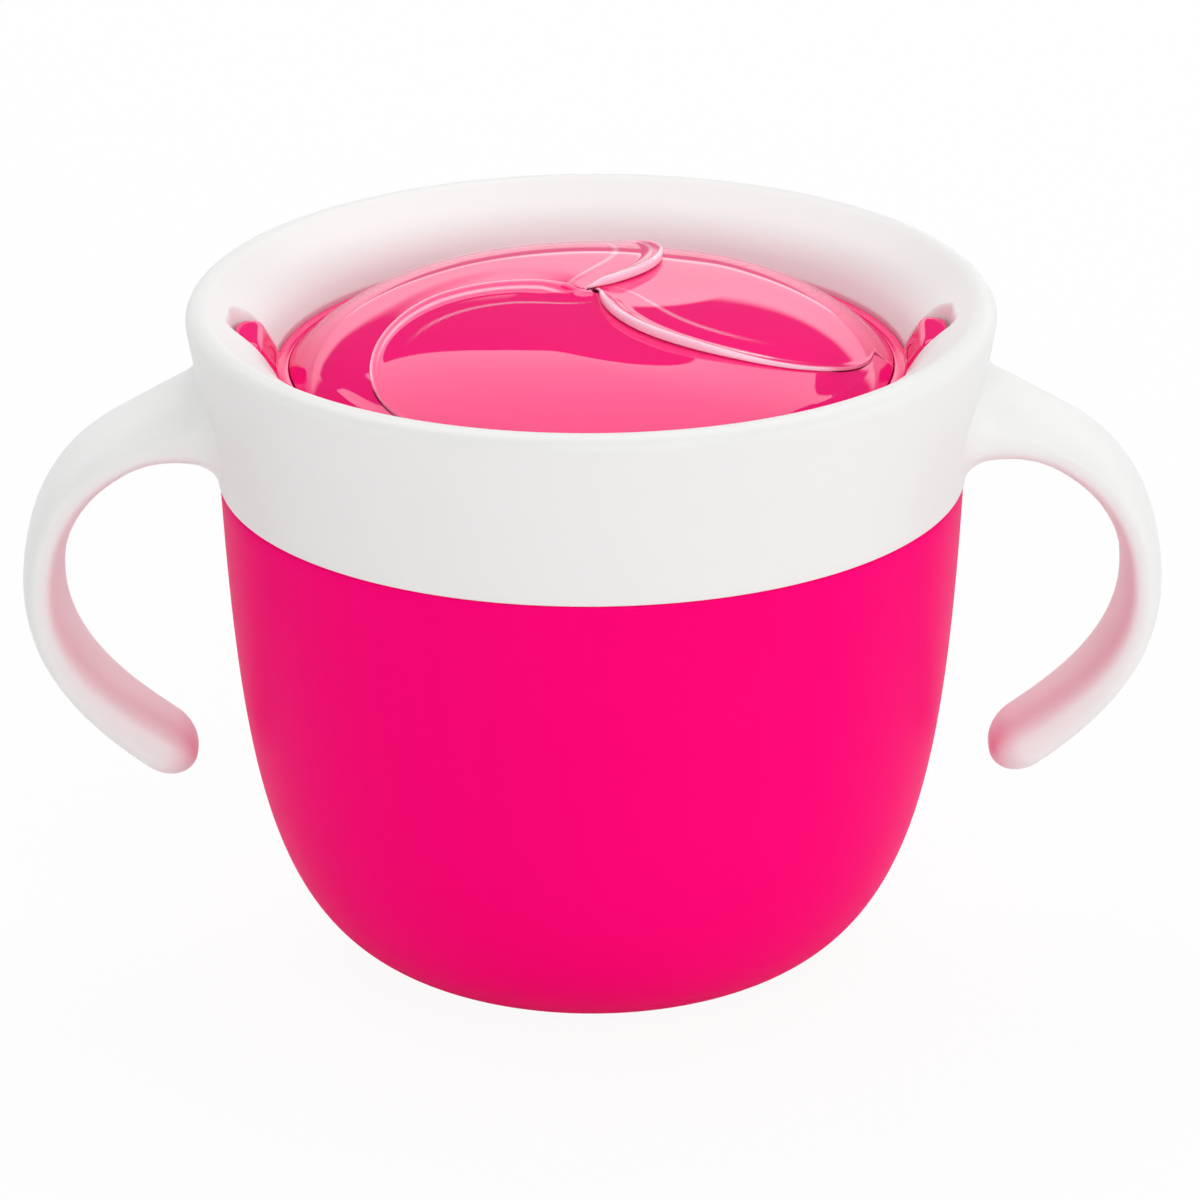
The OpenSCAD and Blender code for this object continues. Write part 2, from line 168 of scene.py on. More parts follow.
def linear(hex_colour):
    """An sRGB hex colour as the linear numbers that a shader takes."""
    channels = [int(hex_colour[i:i + 2], 16) / 255 for i in (1, 3, 5)]
    return [*(c / 12.92 if c <= 0.04045 else ((c + 0.055) / 1.055) ** 2.4 for c in channels), 1]


def new_material(name):
    """An empty node material, and its tree."""
    material = bpy.data.materials.new(name)
    material.use_nodes = True
    material.node_tree.nodes.clear()
    return material, material.node_tree


def add_node(tree, kind, settings=None, **inputs):
    """Adds one node. Each input is named, or _ and its number, and takes a value or a socket."""
    node = tree.nodes.new(kind)
    for setting, value in (settings or {}).items():
        setattr(node, setting, value)
    for key, value in inputs.items():
        socket = node.inputs[int(key[1:]) if key[0] == "_" else key.replace("_", " ")]
        if isinstance(value, bpy.types.NodeSocket):
            tree.links.new(value, socket)
        else:
            socket.default_value = value
    return node


belly_outside = []
belly_inside = []
for k in range(SIDE_STEPS, -1, -1):
    t = SIDE_FROM + (1 - SIDE_FROM) * k / SIDE_STEPS
    d = along_curve(CUP_SIDE, t)
    belly_outside.append(on_curve(CUP_SIDE, t))
    within = on_curve(CUP_SIDE, t) + CUP_WALL * Vector((d.y, -d.x))
    if within.x < BELLY_BORE:
        belly_inside.append(within)
foot = rounded([(0, HOLLOW_RISE, 0), (HOLLOW_TOP_R, HOLLOW_RISE, 0.5), (HOLLOW_R, 0, 0.5), (FOOT_R, 0, 0)])
neck = rounded([
    (*belly_outside[-1], 0), (SHOULDER_R, SHOULDER_Z, 0.5), (NECK_R, SHOULDER_Z, 0.2),
    (NECK_R, SNAP_Z - 2 * SNAP_RISE, 0.4), (NECK_R + SNAP_RISE, SNAP_Z, 0.4),
    (NECK_R, SNAP_Z + 2 * SNAP_RISE, 0.4), (NECK_R, NECK_TOP, 0.7), (NECK_BORE, NECK_TOP, 0.7),
    (NECK_BORE, belly_inside[-1].y + NECK_BLEND, NECK_BLEND), (*belly_inside[-1], 0)])
cup_line = foot + belly_outside + neck[1:] + belly_inside[::-1][1:] + [Vector((0, CUP_WALL))]
cup = finished(turned(spaced(cup_line, CUP_STEP)), "cup_shell")

# Injection-moulded polypropylene, coloured through: a fine spark-eroded grain gives a
# broad soft highlight, and the colour shifts by a hair where the melt flowed. Swirls are
# 36 mm across, and the grain is drawn at 0.4 mm, about four times too coarse, so it shows.
CUP_SWIRLS, CUP_GRAIN = 28, 2600
cup_pp, tree = new_material("moulded polypropylene, magenta pink")
where = add_node(tree, "ShaderNodeTexCoord")
flow = add_node(tree, "ShaderNodeTexNoise", Vector=where.outputs["Object"], Scale=CUP_SWIRLS, Detail=2)
tint = add_node(tree, "ShaderNodeMix", {"data_type": "RGBA"}, Factor=flow.outputs["Fac"],
                A=linear("#F80172"), B=linear("#FD0478"))
grain = add_node(tree, "ShaderNodeTexNoise", Vector=where.outputs["Object"], Scale=CUP_GRAIN, Detail=2)
relief = add_node(tree, "ShaderNodeBump", Height=grain.outputs["Fac"], Strength=0.05, Distance=0.00005)
skin = add_node(tree, "ShaderNodeBsdfPrincipled", Base_Color=tint.outputs["Result"], Roughness=0.4,
                IOR=1.49, Specular_IOR_Level=0.018, Normal=relief.outputs["Normal"])
add_node(tree, "ShaderNodeOutputMaterial", Surface=skin.outputs["BSDF"])
cup.data.materials.append(cup_pp)
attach(cup, "cup")
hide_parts("cup")


# The collar's band. A white polypropylene moulding: a rolled lip, a funnel and throat that
# lead a hand in, a ledge for the insert, a skirt, and a deep band outside that hides the
# cup's neck. A pocket for each pull tab is pressed into the funnel.
LIP_R, LIP_ROLL, LIP_STEPS = 47.2, 1.87, 28
REST_GAP = 0.03
BAND_FOOT_R, BAND_FOOT_Z, BAND_WALL = 45.45, SHOULDER_Z + REST_GAP, 1.6
BAND_LEAN = math.atan2(LIP_R + LIP_ROLL - BAND_FOOT_R, LIP_Z - SHOULDER_Z)
SHELF_R, SHELF_DROP, FUNNEL_ROUND = 40.9, 1.8, 12
THROAT_R, THROAT_DROP = 38.4, 5.75
LEDGE_R, LEDGE_Z, LEDGE_T = 36.8, LIP_Z - 8.6, 2.0
SKIRT_R, SKIRT_TOP_Z = 40.9, LIP_Z - 4
CAVITY_R, CAVITY_Z = 44.4, LIP_Z - BAND_WALL
BAND_STEP, FUNNEL_STEP = 1.2, 0.24
POCKET_SWEEP, PLAIN_SWEEP = (20, 90), (160, 106)
POCKET_HALF, POCKET_REACH, POCKET_DROP = 4.4, 43.5, 3.9
POCKET_CORNER, POCKET_WALL, POCKET_LOWEST = 2.7, 1.6, 8.5
BRIM_FRONT, BRIM_BACK, BRIM_START, BRIM_POWER = 1.3, 0.5, 0.12, 2.4
PRESS_FROM_R, PRESS_TO_R, PRESS_DROP = 37, 46.5, 8.4
FACE_R, FACE_DROP, FACE_LEAN, FACE_THROAT_DROP = THROAT_R - 0.1, 2.9, 0.66, 6.4
STEM_X, STEM_LEAN = 40.4, math.radians(21)


def band_r(z):
    """Outer radius of the band at a height."""
    return BAND_FOOT_R + (z - SHOULDER_Z) * math.tan(BAND_LEAN)


def ease(x):
    """A smooth step from 0 to 1."""
    x = min(max(x, 0), 1)
    return x * x * (3 - 2 * x)


def pocket_share(x, y):
    """How much of a pocket's depth there is at a plan point: all of it inside, and a soft brim."""
    aside = max(0, abs(y) - (POCKET_HALF - POCKET_CORNER))
    beyond = max(0, x - (POCKET_REACH - POCKET_CORNER))
    away = math.hypot(aside, beyond) - POCKET_CORNER
    brim = BRIM_FRONT + (BRIM_BACK - BRIM_FRONT) * ease(1 + y / POCKET_HALF)
    return max(0, 1 - max(0, away / brim + BRIM_START)) ** BRIM_POWER


def on_face(r, drop):
    """True on the side that a hand touches, and false on the hollow side of the same wall."""
    if r > SHELF_R:
        return drop < FACE_DROP - FACE_LEAN * (r - SHELF_R)
    return r > FACE_R and drop < FACE_THROAT_DROP


shelf_lean = math.atan2(SHELF_DROP, LIP_R - SHELF_R)
shelf_touch = math.asin(LIP_ROLL / math.hypot(LIP_R - SHELF_R, SHELF_DROP))
lip_turn = math.pi / 2 + (shelf_lean + shelf_touch) + BAND_LEAN
lip = []
for k in range(LIP_STEPS + 1):
    a = -BAND_LEAN + lip_turn * k / LIP_STEPS
    lip.append(Vector((LIP_R + LIP_ROLL * math.cos(a), LIP_Z + LIP_ROLL * math.sin(a))))
outside = rounded([
    (BAND_FOOT_R - BAND_WALL / 2, BAND_FOOT_Z, 0), (BAND_FOOT_R, BAND_FOOT_Z, 0.35), (*lip[0], 0)])
funnel = rounded([
    (*lip[-1], 0), (SHELF_R, LIP_Z - SHELF_DROP, FUNNEL_ROUND), (THROAT_R, LIP_Z - THROAT_DROP, 0.5),
    (THROAT_R, LEDGE_Z, 0)], step=0.2)
inside = rounded([
    (THROAT_R, LEDGE_Z, 0), (LEDGE_R, LEDGE_Z, 0.2), (LEDGE_R, LEDGE_Z - LEDGE_T, 0.3),
    (SKIRT_R, LEDGE_Z - LEDGE_T, 0.3), (SKIRT_R, SKIRT_TOP_Z, 0.5), (CAVITY_R, CAVITY_Z, 0.8),
    (band_r(CAVITY_Z) - BAND_WALL, CAVITY_Z, 0.5), (BAND_FOOT_R - BAND_WALL, BAND_FOOT_Z, 0.3),
    (BAND_FOOT_R - BAND_WALL / 2, BAND_FOOT_Z, 0)])
collar_line = spaced(outside, BAND_STEP) + lip[1:]
collar_line += spaced(funnel, FUNNEL_STEP)[1:] + spaced(inside, BAND_STEP)[1:]
band = turned(collar_line, -POCKET_SWEEP[0] / 2, (POCKET_SWEEP, PLAIN_SWEEP))
for v in band.verts:
    x = abs(v.co.x * 1000)
    y = v.co.y * 1000
    drop = LIP_Z - v.co.z * 1000
    r = math.hypot(x, y)
    if PRESS_FROM_R < r < PRESS_TO_R and drop < PRESS_DROP:
        bottom = POCKET_DROP + max(0, STEM_X - x) / math.tan(STEM_LEAN)
        if not on_face(r, drop):
            bottom += POCKET_WALL
        press = max(0, min(bottom, POCKET_LOWEST) - drop)
        v.co.z = (LIP_Z - drop - press * pocket_share(x, y)) / 1000
collar = finished(band, "collar_band")

# White polypropylene, moulded in a lightly polished tool: opaque, an even white that takes
# up the pink beside it, with a satin gloss that spreads each highlight. Swirls are 45 mm
# across, and the grain is drawn at 0.4 mm, as on the cup.
COLLAR_SWIRLS, COLLAR_GRAIN = 22, 2400
collar_pp, tree = new_material("moulded polypropylene, white")
where = add_node(tree, "ShaderNodeTexCoord")
flow = add_node(tree, "ShaderNodeTexNoise", Vector=where.outputs["Object"], Scale=COLLAR_SWIRLS, Detail=2)
tint = add_node(tree, "ShaderNodeMix", {"data_type": "RGBA"}, Factor=flow.outputs["Fac"],
                A=linear("#E9E9E8"), B=linear("#EDEDEC"))
grain = add_node(tree, "ShaderNodeTexNoise", Vector=where.outputs["Object"], Scale=COLLAR_GRAIN, Detail=2)
relief = add_node(tree, "ShaderNodeBump", Height=grain.outputs["Fac"], Strength=0.05, Distance=0.00005)
skin = add_node(tree, "ShaderNodeBsdfPrincipled", Base_Color=tint.outputs["Result"], Roughness=0.38,
                IOR=1.49, Normal=relief.outputs["Normal"])
add_node(tree, "ShaderNodeOutputMaterial", Surface=skin.outputs["BSDF"])
collar.data.materials.append(collar_pp)
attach(collar, "collar")
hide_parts("handle_collar")


# The two handles. Part of the same moulding: each leaves the band under the lip on a full
# fillet, thins to a flat strap, and swells again to a rounded end that stays clear of the cup.
ROOT_Z = LIP_Z - 12.6
HANDLE_ROOT = (band_r(ROOT_Z), ROOT_Z)
HANDLE_BACK = (67.1, LIP_Z - 33.6)
HANDLE_OUT = [HANDLE_ROOT, (HANDLE_ROOT[0] + 12.575, HANDLE_ROOT[1] - 2.24),
              (HANDLE_BACK[0], HANDLE_BACK[1] + 12), HANDLE_BACK]
HANDLE_IN = [HANDLE_BACK, (HANDLE_BACK[0], HANDLE_BACK[1] - 10.5), (59.2, LIP_Z - 50.7),
             (53.05, LIP_Z - 55.1)]
HANDLE_T, TIP_T, SWELLS_FROM = 4.9, 6.6, 0.55
HANDLE_W, TIP_W, NARROWS_FROM = 19.0, 12.0, 0.3
ROOT_FLARE, FLARE_ENDS, FLARE_POWER = 5.0, 0.16, 2.2
ROOT_BLEND, ROOT_SINK, FILLET = 9.0, 0.3, 2.4
HANDLE_RINGS, HANDLE_SIDES, HANDLE_SQUARENESS = 130, 56, 2.7
END_RINGS, END_TURN, END_REACH, END_NARROW = 16, math.radians(88), 1.45, 0.85


def strap_at(s):
    """Centre, direction, half thickness and half width of the strap, s from 0 to 1."""
    c, t = (HANDLE_OUT, s * 2) if s < 0.5 else (HANDLE_IN, s * 2 - 1)
    away = (on_curve(c, t) - Vector(HANDLE_ROOT)).length
    flare = ROOT_FLARE * max(0, 1 - s / FLARE_ENDS) ** FLARE_POWER
    flare += 2 * (FILLET - math.sqrt(FILLET**2 - max(0, FILLET - away) ** 2))
    thick = HANDLE_T + (TIP_T - HANDLE_T) * ease((s - SWELLS_FROM) / (1 - SWELLS_FROM)) + flare
    wide = HANDLE_W + (TIP_W - HANDLE_W) * ease((s - NARROWS_FROM) / (1 - NARROWS_FROM)) + flare
    return on_curve(c, t), along_curve(c, t), thick / 2, wide / 2


def station(p, d, thick, wide):
    """The matrix that puts a unit outline at a station of a strap, in metres."""
    return Matrix.Scale(0.001, 4) @ Matrix((
        (-d.y * thick, 0, d.x, p.x), (0, wide, 0, 0), (d.x * thick, 0, d.y, p.y), (0, 0, 0, 1)))


def swept(stations, sides, squareness):
    """A unit outline, round at a squareness of 2, extruded through the stations and closed."""
    bm = bmesh.new()
    ring = bmesh.ops.create_circle(bm, segments=sides, radius=1)["verts"]
    for v in ring:
        v.co = [math.copysign(abs(c) ** (2 / squareness), c) for c in v.co.xy] + [0]
    edges = list(bm.edges)
    bmesh.ops.transform(bm, matrix=stations[0], verts=ring)
    for here, there in zip(stations, stations[1:]):
        geom = bmesh.ops.extrude_edge_only(bm, edges=edges)["geom"]
        ring = [g for g in geom if isinstance(g, bmesh.types.BMVert)]
        edges = [g for g in geom if isinstance(g, bmesh.types.BMEdge)]
        bmesh.ops.transform(bm, matrix=there @ here.inverted(), verts=ring)
    bmesh.ops.holes_fill(bm, edges=[e for e in bm.edges if e.is_boundary], sides=0)
    return bm


def left_and_right(bm, left_name, right_name):
    """Two finished pieces: the mirror image of a right-hand shape, and the shape itself."""
    pieces = []
    for mirror, name in ((-1, left_name), (1, right_name)):
        shape = bm.copy()
        bmesh.ops.scale(shape, vec=(mirror, 1, 1), verts=shape.verts)
        pieces.append(finished(shape, name))
    bm.free()
    return pieces


stops = [station(*strap_at(k / HANDLE_RINGS)) for k in range(HANDLE_RINGS + 1)]
tip, tip_dir, tip_thick, tip_wide = strap_at(1)
for k in range(1, END_RINGS + 1):
    a = END_TURN * k / END_RINGS
    end = tip + tip_dir * END_REACH * tip_thick * math.sin(a)
    end_wide = tip_wide * (1 - END_NARROW * (1 - math.cos(a)))
    stops.append(station(end, tip_dir, tip_thick * math.cos(a), end_wide))
strap = swept(stops, HANDLE_SIDES, HANDLE_SQUARENESS)
out_x, out_z = along_curve(HANDLE_OUT, 0)
for v in strap.verts:
    x, y, z = v.co * 1000
    off = (x - HANDLE_ROOT[0]) * out_x + (z - HANDLE_ROOT[1]) * out_z
    if off < ROOT_BLEND and z > HANDLE_BACK[1]:
        wall = math.sqrt(band_r(z) ** 2 - y * y) - ROOT_SINK
        flat = HANDLE_ROOT[0] - (z - HANDLE_ROOT[1]) * out_z / out_x
        v.co.x = (x + (wall - flat) * (1 - max(0, off) / ROOT_BLEND) ** 3) / 1000
for handle in left_and_right(strap, "handle_left", "handle_right"):
    handle.data.materials.append(collar_pp)
    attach(handle, "collar")
    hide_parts("handle_collar")


# The insert's ring. The soft frame of the thermoplastic elastomer insert: a flange on the
# collar's ledge, and a seat inside it that the flaps grow from.
FLANGE_R, FLANGE_Z = 38.36, LEDGE_Z + 2.4
SEAT_R, SEAT_Z = 36.66, FLANGE_Z - 1.5
RING_R, RING_BORE, RING_FOOT_Z = 36.5, 34.9, LEDGE_Z - 1.4
RING_START_R, RING_STEP = 36, 0.6
ring_line = rounded([
    (RING_START_R, RING_FOOT_Z, 0), (RING_R, RING_FOOT_Z, 0.2), (RING_R, LEDGE_Z + REST_GAP, 0.1),
    (FLANGE_R, LEDGE_Z + REST_GAP, 0.3), (FLANGE_R, FLANGE_Z, 0.4), (SEAT_R, FLANGE_Z, 0.35),
    (SEAT_R, SEAT_Z, 0.2), (RING_BORE, SEAT_Z, 0.2), (RING_BORE, RING_FOOT_Z, 0.3),
    (RING_START_R, RING_FOOT_Z, 0)], step=0.12)
ring = finished(turned(spaced(ring_line, RING_STEP)), "insert_frame")

# Thermoplastic elastomer, moulded in a polished tool: glossy clear pink, deep where the
# light goes through more of it. A pale pink is painted in as highlight on each free edge's
# wall, crest and bead, and on a line where the hidden edge beneath would show through.
# Its skin waves very slightly, every 17 mm.
TPE_WAVES = 60
tpe, tree = new_material("clear thermoplastic elastomer, pink")
where = add_node(tree, "ShaderNodeTexCoord")
# Painted highlight: the pale pink is mixed in by each point's share, not lit by any lamp.
edge = add_node(tree, "ShaderNodeAttribute", {"attribute_name": "painted_highlight"})
tint = add_node(tree, "ShaderNodeMix", {"data_type": "RGBA"}, Factor=edge.outputs["Fac"],
                A=linear("#FF0A78"), B=linear("#FDD3E6"))
flow = add_node(tree, "ShaderNodeTexNoise", Vector=where.outputs["Object"], Scale=TPE_WAVES, Detail=1)
relief = add_node(tree, "ShaderNodeBump", Height=flow.outputs["Fac"], Strength=0.1, Distance=0.0002)
clear = add_node(tree, "ShaderNodeBsdfPrincipled", Base_Color=tint.outputs["Result"], Roughness=0.03,
                 IOR=1.58, Transmission_Weight=0.02, Normal=relief.outputs["Normal"])
add_node(tree, "ShaderNodeOutputMaterial", Surface=clear.outputs["BSDF"])
ring.data.materials.append(tpe)
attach(ring, "insert")
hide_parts("insert_ring")


# The two pull tabs. Thin tongues of the same elastomer, moulded on the ring: each stem leans
# up along its pocket and bends over into a flat tab that two fingers can pull.
TAB_HALF, TAB_T, TAB_END_X, TAB_Z = 4.0, 1.2, 43.18, LIP_Z - 2.1
TAB_CORNER, TAB_NOSE, TAB_BLUNT, TAB_SQUARENESS = 2.4, 0.5, 0.05, 5
TAB_TILT = math.tan(math.radians(3.5))
TAB_ROOT_X, TAB_ROOT_Z, TAB_ROOT_RISE = 37.94, FLANGE_Z - 1.3, 0.3
TAB_BEND_R, TAB_BEND_STEPS = 1.0, 12
TAB_BEND_X, TAB_BEND_Z = 41.06, TAB_Z - TAB_T / 2 - TAB_BEND_R
TAB_STEP, TAB_SIDES = 0.2, 60
tab_line = [
    Vector((TAB_ROOT_X, TAB_ROOT_Z)),
    Vector((TAB_ROOT_X + TAB_ROOT_RISE * math.tan(STEM_LEAN), TAB_ROOT_Z + TAB_ROOT_RISE))]
for k in range(TAB_BEND_STEPS + 1):
    a = math.pi - STEM_LEAN + (STEM_LEAN - math.pi / 2) * k / TAB_BEND_STEPS
    tab_line.append(Vector((TAB_BEND_X + TAB_BEND_R * math.cos(a), TAB_BEND_Z + TAB_BEND_R * math.sin(a))))
tab_line = spaced(tab_line + [Vector((TAB_END_X, TAB_Z - TAB_T / 2))], TAB_STEP)
stops = []
for k, p in enumerate(tab_line):
    d = (tab_line[min(len(tab_line) - 1, k + 1)] - tab_line[max(0, k - 1)]).normalized()
    to_end = (tab_line[-1] - p).length
    corner = TAB_CORNER - math.sqrt(TAB_CORNER**2 - max(0, TAB_CORNER - to_end) ** 2)
    nose = math.sqrt(max(TAB_BLUNT, 1 - max(0, 1 - to_end / TAB_NOSE) ** 2))
    stops.append(station(p, d, TAB_T / 2 * nose, TAB_HALF - corner))
tongue = swept(stops, TAB_SIDES, TAB_SQUARENESS)
for v in tongue.verts:
    v.co.z += TAB_TILT * v.co.y
for tab in left_and_right(tongue, "pull_tab_left", "pull_tab_right"):
    tab.data.materials.append(tpe)
    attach(tab, "insert")
    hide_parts("insert_ring")


# The three flaps. Petals of one soft dome, moulded in the same shot as the ring: each free
# edge is rolled, sweeps out from the middle in an arc and rides over the next petal.
DOME_R, DOME_RISE, DOME_POWER = 36.6, 8.3, 4.3
CROWN_RISE, CROWN_ZONE = 1.1, (0, 30)
FLAP_SPAN = math.radians(120)
MIDDLE_T, ROOT_T, THINNING_ZONE, FLAP_GAP = 0.42, 0.32, (14, 12), 0.06
LAP_W, SLIT, LAP_MOST = 3.5, 0.14, math.radians(50)
LAP_START_ZONE, LAP_END_ZONE = (1, 4), (28.5, 4)
TUCK_MIDDLE, TUCK_OUTER, TUCK_EARLY, TUCK_ZONE = 0.9, 0.25, 0.02, (0, 24)
RIM_R = 33.2
RIM_ZONE = (RIM_R, DOME_R - RIM_R)
EDGE_R, EDGE_OUT, EDGE_AZ = 16.7, 17.66, math.radians(-3.7)
ROLL_RISE, ROLL_W, ROLL_ROUND, ROLL_DROP = 0.9, 3.0, 0.42, 0.85
ROLL_START_ZONE, ROLL_DROP_ZONE, ROLL_END_ZONE = (0.5, 2.5), (18, 13), (RIM_R, 3)
TIP_ROLL_SHARE, TIP_ROUND_SHARE, ROUND_SHARE, WALL_FLATNESS = 0.5, 0.3, 0.48, 3
TIP_R, CLOSE_W = 0.5, 0.3
# Strength, place and width of the painted highlight on the wall, crest, bead and line.
WALL_LIGHT, WALL_FADE, CREST_LIGHT, CREST_W = 0.95, 0.6, 0.8, 0.9
BEAD_LIGHT, BEAD_IN, BEAD_W = 0.75, 1.7, 0.38
LINE_LIGHT, LINE_IN, LINE_W = 0.6, 6.2, 0.45
TIP_FADE_ZONE, ROOT_FADE_ZONE, BEAD_FADE_ZONE, LINE_FADE_ZONE = (3, 2), (31, 1.5), (25, 6), (18, 8)
ROWS, TOP_COLUMNS, EDGE_COLUMNS = 110, 72, 12
COLUMNS = 2 * TOP_COLUMNS + EDGE_COLUMNS
ROW_CROWDING, COLUMN_CROWDING = 1.35, 1.7


def past(r, zone):
    """0 short of a zone of (first radius, length), 1 beyond it, and smooth across it."""
    start, length = zone
    return ease((r - start) / length)


def edge_dir(r):
    """Direction of a free edge at radius r, until the arc has run out to its furthest point."""
    q = min(max(r, EDGE_OUT - EDGE_R), EDGE_OUT + EDGE_R)
    return EDGE_AZ - math.acos(min(1, (q * q + EDGE_OUT**2 - EDGE_R**2) / (2 * q * EDGE_OUT)))


def lap_angle(r):
    """How far a petal runs on under its neighbour. It is a slit, below zero, at either end."""
    lapped = past(r, LAP_START_ZONE) * (1 - past(r, LAP_END_ZONE))
    return min(LAP_MOST, (LAP_W * lapped - SLIT * (1 - lapped)) / r)


def flap_t(r):
    """Thickness of a petal at radius r."""
    return MIDDLE_T + (ROOT_T - MIDDLE_T) * past(r, THINNING_ZONE)


def flap_top(r, w):
    """Height of a petal at radius r and share w of the way from its free to its hidden edge."""
    covered = FLAP_SPAN / (FLAP_SPAN + max(0, lap_angle(r))) - TUCK_EARLY
    tuck_run = TUCK_MIDDLE + (TUCK_OUTER - TUCK_MIDDLE) * past(r, TUCK_ZONE)
    tucked = (1 - past(r, RIM_ZONE)) * ease((w - covered) / tuck_run + 1)
    crown = CROWN_RISE * (1 - past(r, CROWN_ZONE))
    dome = FLANGE_Z + DOME_RISE * (1 - (r / DOME_R) ** DOME_POWER)
    return dome + crown - (flap_t(r) + FLAP_GAP) * tucked


def closing(r, left):
    """The top and the underside meet in a round at the tip, the root and the hidden edge."""
    near = min(r - TIP_R, DOME_R - r, left) / CLOSE_W
    return math.sqrt(1 - (1 - min(max(near, 0), 1)) ** 2)


def edge_rise(r, inward):
    """The roll along a free edge: full at the edge, gone a few millimetres in and near the root."""
    along = past(r, ROLL_START_ZONE) * (1 - ROLL_DROP * past(r, ROLL_DROP_ZONE))
    along *= 1 - past(r, ROLL_END_ZONE)
    return ROLL_RISE * along * ease(1 - inward / min(ROLL_W, TIP_ROLL_SHARE * r))


def flap_point(i, j):
    """Columns run from the hidden edge over the top, round the free edge and back below."""
    r = TIP_R + (DOME_R - TIP_R) * (1 - (1 - j / ROWS) ** ROW_CROWDING)
    length = r * (FLAP_SPAN + lap_angle(r))
    edge_t = flap_t(r) * closing(r, 1) + edge_rise(r, 0)
    round_r = min(ROLL_ROUND, TIP_ROUND_SHARE * r, ROUND_SHARE * edge_t)
    run = max(0, TOP_COLUMNS - i, i - TOP_COLUMNS - EDGE_COLUMNS) / TOP_COLUMNS
    inward = round_r + (length - round_r) * run**COLUMN_CROWDING
    z = flap_top(r, inward / length)
    top = z + edge_rise(r, inward)
    bottom = z - flap_t(r) * closing(r, length - inward)
    if i <= TOP_COLUMNS:
        z = top
    elif i >= TOP_COLUMNS + EDGE_COLUMNS:
        z = bottom
    else:
        over = math.pi * (i - TOP_COLUMNS) / EDGE_COLUMNS
        inward = round_r * (1 - math.sin(over))
        straight = ((top - bottom) / 2 - round_r) * max(-1, min(1, WALL_FLATNESS * math.cos(over)))
        z = (top + bottom) / 2 + round_r * math.cos(over) + straight
    return r, inward, z


def painted_highlight(i, r, inward):
    """Painted highlight: how pale the rubber is painted on the free edge's wall, crest, bead and the line
    over the hidden edge beneath.
    """
    if i > TOP_COLUMNS + EDGE_COLUMNS:
        return 0
    if i > TOP_COLUMNS - 2:
        return WALL_LIGHT - WALL_FADE * past(r, ROOT_FADE_ZONE)
    crest = CREST_LIGHT * max(0, 1 - inward / CREST_W) * (1 - past(r, ROOT_FADE_ZONE))
    bead = BEAD_LIGHT * max(0, 1 - abs(inward - BEAD_IN) / BEAD_W) * (1 - past(r, BEAD_FADE_ZONE))
    line = LINE_LIGHT * max(0, 1 - abs(inward - LINE_IN) / LINE_W) * (1 - past(r, LINE_FADE_ZONE))
    return max(crest, max(bead, line) * past(r, TIP_FADE_ZONE))


for turn, name in ((0, "flap_rear_right"), (120, "flap_rear_left"), (-120, "flap_front")):
    leaf = bmesh.new()
    bmesh.ops.create_grid(leaf, x_segments=COLUMNS, y_segments=ROWS, size=1)
    # Each point's share of painted highlight, which the material mixes in as pale pink.
    pale = leaf.verts.layers.float.new("painted_highlight")
    for v in leaf.verts:
        i = round((v.co.x + 1) / 2 * COLUMNS)
        j = round((v.co.y + 1) / 2 * ROWS)
        r, inward, z = flap_point(i, j)
        az = edge_dir(r) + inward / r
        v.co = Vector((r * math.cos(az), r * math.sin(az), z)) / 1000
        v[pale] = painted_highlight(i, r, inward)
    bmesh.ops.rotate(leaf, cent=(0, 0, 0), matrix=Matrix.Rotation(math.radians(turn), 3, "Z"),
                     verts=leaf.verts)
    petal = finished(leaf, name.replace("flap", "petal"))
    petal.data.materials.append(tpe)
    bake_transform(petal)
    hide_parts(name)


# The studio. A pale paper floor in a white room that is bright round the horizon and a
# little darker to the left, a big soft box overhead towards the back, and softer ones in
# front and at the sides. Sizes here are in metres, and lamps in watts.
FLOOR_HALF, PAPER_GLOW = 3, 0.93
sheet = bmesh.new()
bmesh.ops.create_grid(sheet, x_segments=1, y_segments=1, size=FLOOR_HALF)
floor_mesh = bpy.data.meshes.new("floor")
sheet.to_mesh(floor_mesh)
sheet.free()
floor = bpy.data.objects.new("floor", floor_mesh)
bpy.context.scene.collection.objects.link(floor)

# Matt background paper, lit from behind: an even white that keeps a trace of the shadow
# under the cup.
paper, tree = new_material("white background paper")
white = add_node(tree, "ShaderNodeBsdfDiffuse", Color=linear("#F4F4F4"))
backlight = add_node(tree, "ShaderNodeEmission", Color=linear("#FFFFFF"), Strength=1.0)
path = add_node(tree, "ShaderNodeLightPath")
seen = add_node(tree, "ShaderNodeMath", {"operation": "MAXIMUM"}, _0=path.outputs["Is Camera Ray"],
                _1=path.outputs["Is Transmission Ray"])
share = add_node(tree, "ShaderNodeMath", {"operation": "MULTIPLY"}, _0=seen.outputs["Value"],
                 _1=PAPER_GLOW)
both = add_node(tree, "ShaderNodeMixShader", _0=share.outputs["Value"], _1=white.outputs["BSDF"],
                _2=backlight.outputs["Emission"])
add_node(tree, "ShaderNodeOutputMaterial", Surface=both.outputs["Shader"])
floor.data.materials.append(paper)

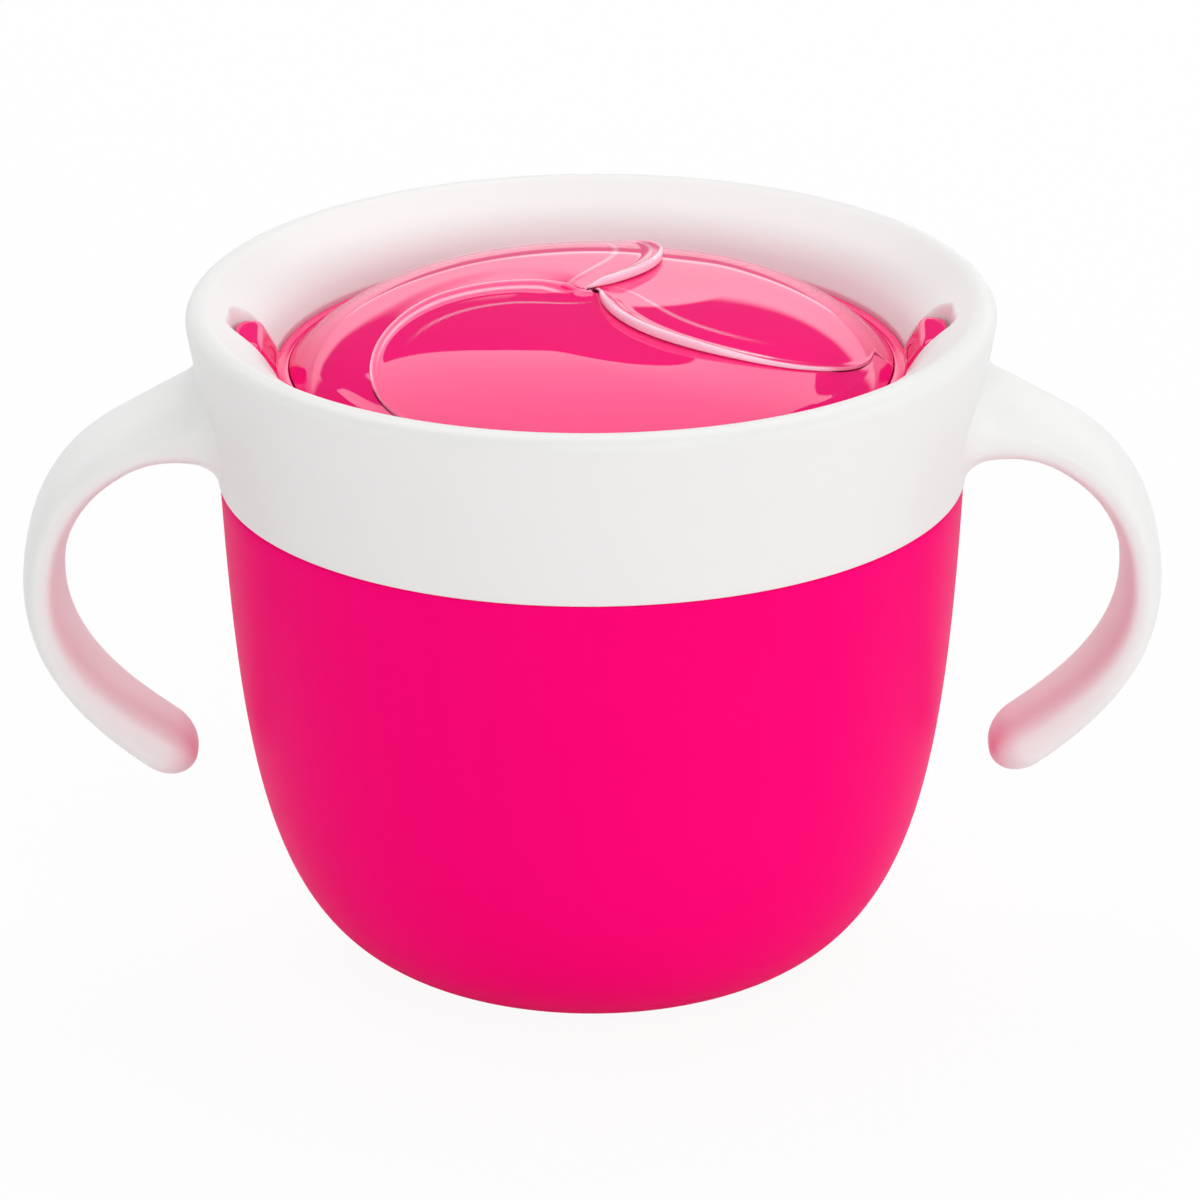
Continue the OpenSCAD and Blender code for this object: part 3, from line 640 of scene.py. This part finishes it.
# Brightness of the room by height, from the horizon up: a pale sill, a grey gap, a bright
# seam, pale walls, then the dark ceiling. The left side is a little darker than the right.
ROOM_LEVEL, LEFT_SHARE, LEFT_X, MIDDLE_X = 2.4, 0.85, -1.0, 0.2
ROOM_BANDS = [(0.0, 0.42), (0.035, 0.16), (0.085, 0.17), (0.105, 0.95), (0.13, 0.5), (0.22, 0.55),
              (0.30, 0.68), (0.325, 0.66), (0.36, 0.06)]
world = bpy.data.worlds.new("studio")
bpy.context.scene.world = world
world.use_nodes = True
tree = world.node_tree
tree.nodes.clear()
look = add_node(tree, "ShaderNodeTexCoord")
axes = add_node(tree, "ShaderNodeSeparateXYZ", Vector=look.outputs["Generated"])
bands = add_node(tree, "ShaderNodeValToRGB", Fac=axes.outputs["Z"])
stops = bands.color_ramp.elements
stops.remove(stops[-1])
for height, grey in ROOM_BANDS:
    stop = stops.new(height) if height else stops[0]
    stop.color = (grey, grey, grey, 1)
wall = add_node(tree, "ShaderNodeMath", {"operation": "MULTIPLY"}, _0=bands.outputs["Color"],
                _1=ROOM_LEVEL)
leftward = add_node(tree, "ShaderNodeMapRange", Value=axes.outputs["X"], From_Min=LEFT_X,
                    From_Max=MIDDLE_X, To_Min=LEFT_SHARE, To_Max=1.0)
dimmed = add_node(tree, "ShaderNodeMath", {"operation": "MULTIPLY"}, _0=wall.outputs["Value"],
                  _1=leftward.outputs["Result"])
path = add_node(tree, "ShaderNodeLightPath")
level = add_node(tree, "ShaderNodeMath", {"operation": "MAXIMUM"}, _0=path.outputs["Is Camera Ray"],
                 _1=dimmed.outputs["Value"])
room = add_node(tree, "ShaderNodeBackground", Color=linear("#FFFFFF"), Strength=level.outputs["Value"])
add_node(tree, "ShaderNodeOutputWorld", Surface=room.outputs["Background"])


def soft_box(name, at, target, width, height, watts):
    """A rectangular lamp in a white box, turned to face a target."""
    lamp = bpy.data.lights.new(name, "AREA")
    lamp.shape = "RECTANGLE"
    lamp.size = width
    lamp.size_y = height
    lamp.energy = watts
    box = bpy.data.objects.new(name, lamp)
    bpy.context.scene.collection.objects.link(box)
    box.location = at
    box.rotation_euler = (Vector(target) - Vector(at)).to_track_quat("-Z", "Y").to_euler()
    return box


CUP_MIDDLE = (0, 0, 0.05)
overhead = soft_box("overhead_soft_box", (0, 0.575, 1.08), (0, 0.575, 0), width=1.7, height=1.35, watts=13.4)
overhead.rotation_euler = (0, 0, 0)  # straight down, its long side along X
soft_box("front_soft_box", (0.3, -1.2, 0.8), CUP_MIDDLE, width=1.2, height=1.2, watts=7.7)
soft_box("left_soft_box", (-1.5, -0.35, 0.35), CUP_MIDDLE, width=1.0, height=0.6, watts=1.2)
soft_box("right_soft_box", (1.5, -0.35, 0.35), CUP_MIDDLE, width=1.0, height=0.6, watts=2.5)

bpy.context.scene.view_settings.view_transform = "Standard"
